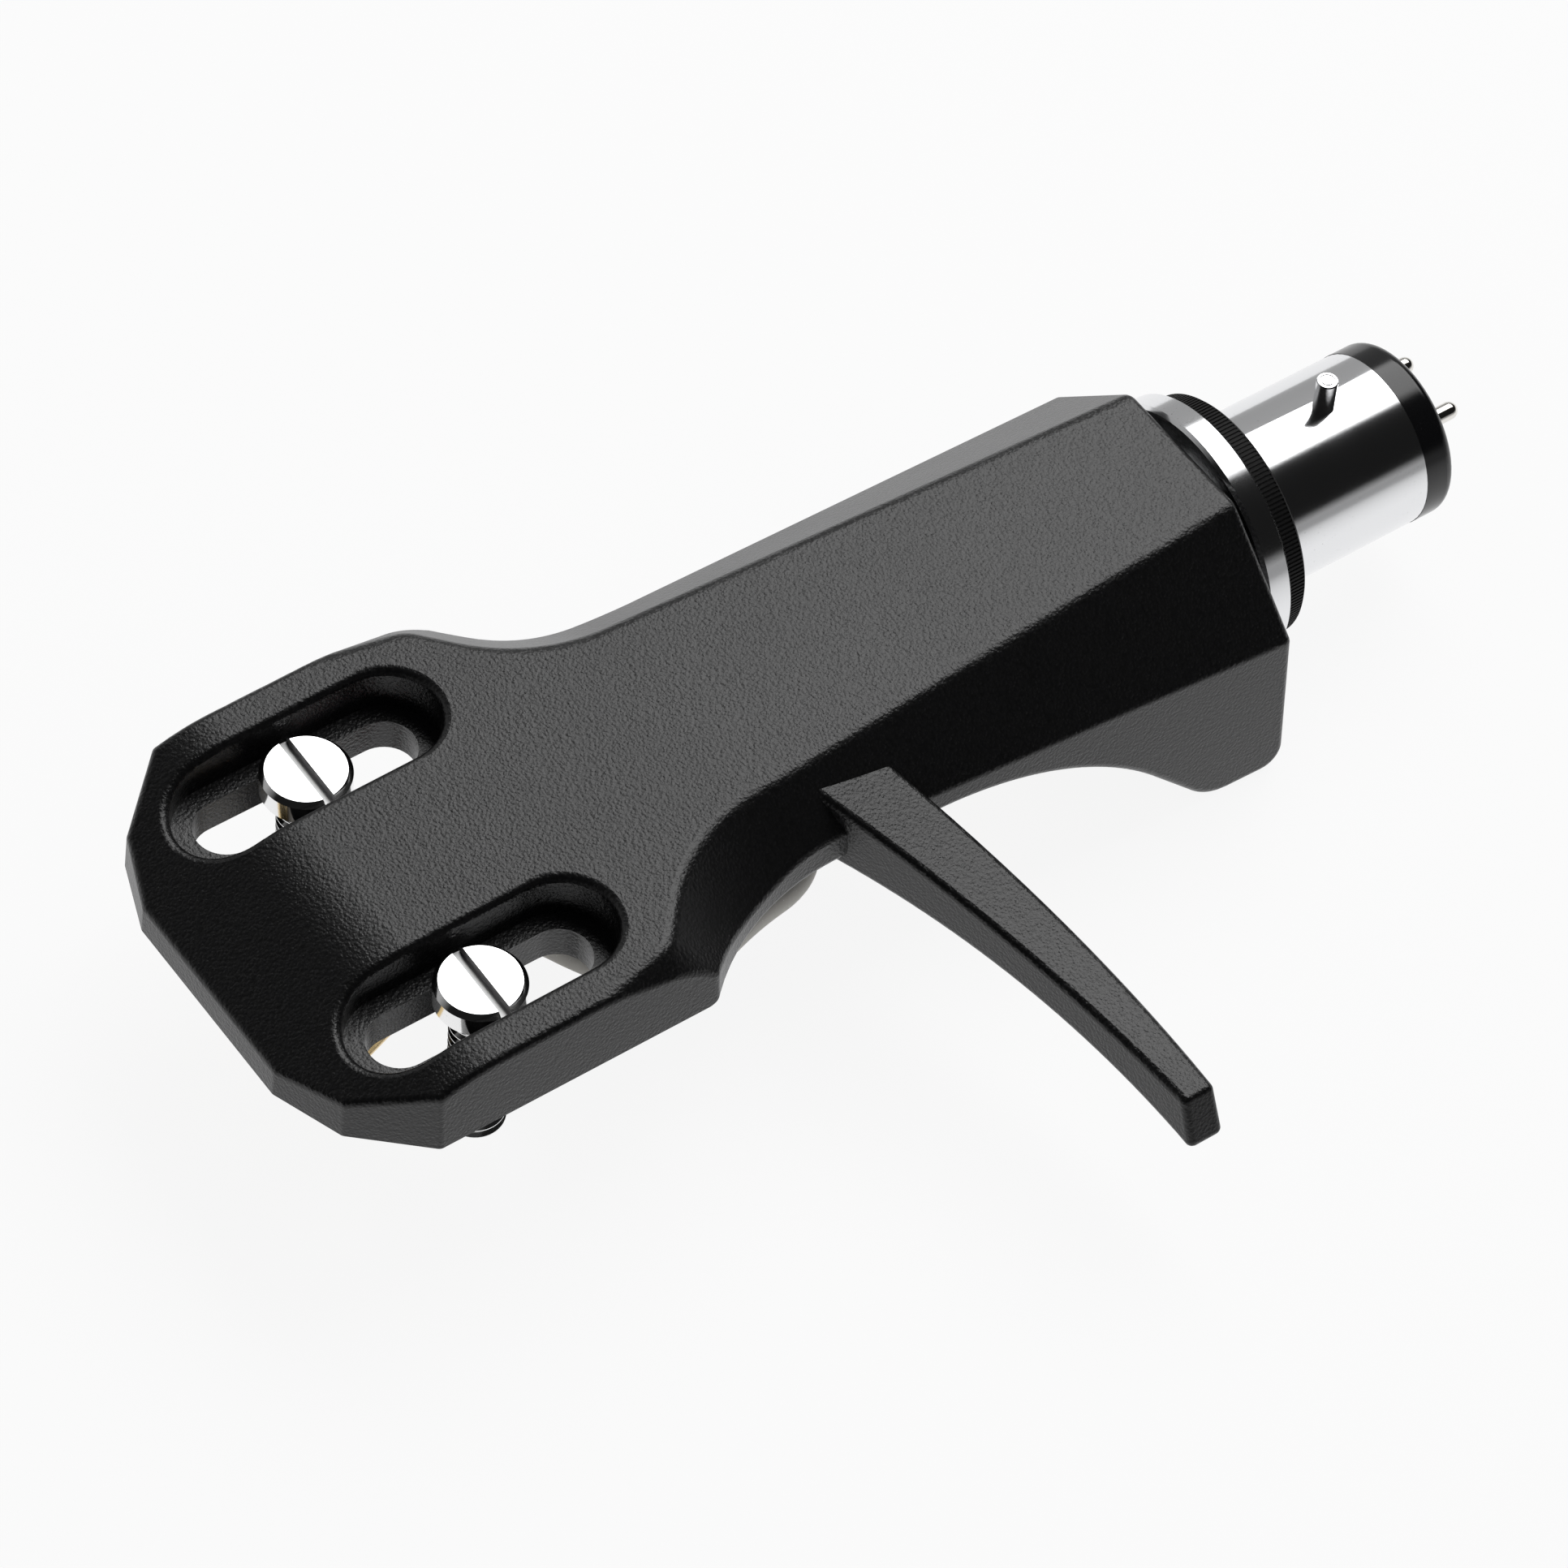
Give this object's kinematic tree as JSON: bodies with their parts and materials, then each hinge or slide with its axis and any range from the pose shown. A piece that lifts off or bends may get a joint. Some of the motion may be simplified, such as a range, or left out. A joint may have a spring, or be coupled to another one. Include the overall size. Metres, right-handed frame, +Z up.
{
  "type": "turntable headshell",
  "caption": "Turntable cartridge headshell: cast head with slotted cartridge seat, curved finger lift, hollow neck with coloured leads and a keyed bayonet plug.",
  "frame": {"origin": "on the plug's axis, in the plane where the rubber washer seats against the tonearm's socket", "axes": "+X along the plug, pointing out of the head into the tonearm; +Z up, away from the record; the finger lift points to -Y"},
  "size_m": [0.0625, 0.0364, 0.0123],
  "materials": {
    "cast_shell": "fine-grained satin black paint",
    "plug_chrome": "polished",
    "washer_rubber": "matt",
    "insulator": "satin black moulding",
    "screw_steel": "bright plated",
    "set_screw_steel": "dark plated",
    "contact_plating": "bright plated",
    "white_wire": "soft insulation",
    "blue_wire": "soft insulation",
    "red_wire": "soft insulation",
    "green_wire": "soft insulation",
    "clip_brass": "plated, sprung"
  },
  "bodies": {
    "root": {"shell": "cast_shell", "plug_tube": "plug_chrome", "locating_pin": "plug_chrome", "rubber_washer": "washer_rubber", "contact_insulator": "insulator", "mounting_screw_near": "screw_steel", "mounting_screw_far": "screw_steel", "tube_set_screw": "set_screw_steel", "contact_pin_white": "contact_plating", "contact_pin_blue": "contact_plating", "contact_pin_red": "contact_plating", "contact_pin_green": "contact_plating", "lead_white": "white_wire", "lead_blue": "blue_wire", "lead_red": "red_wire", "lead_green": "green_wire", "plug_clip_white": "clip_brass", "plug_clip_blue": "clip_brass", "plug_clip_red": "clip_brass", "plug_clip_green": "clip_brass", "cartridge_clip_white": "clip_brass", "cartridge_clip_blue": "clip_brass", "cartridge_clip_red": "clip_brass", "cartridge_clip_green": "clip_brass"}
  },
  "joints": []
}
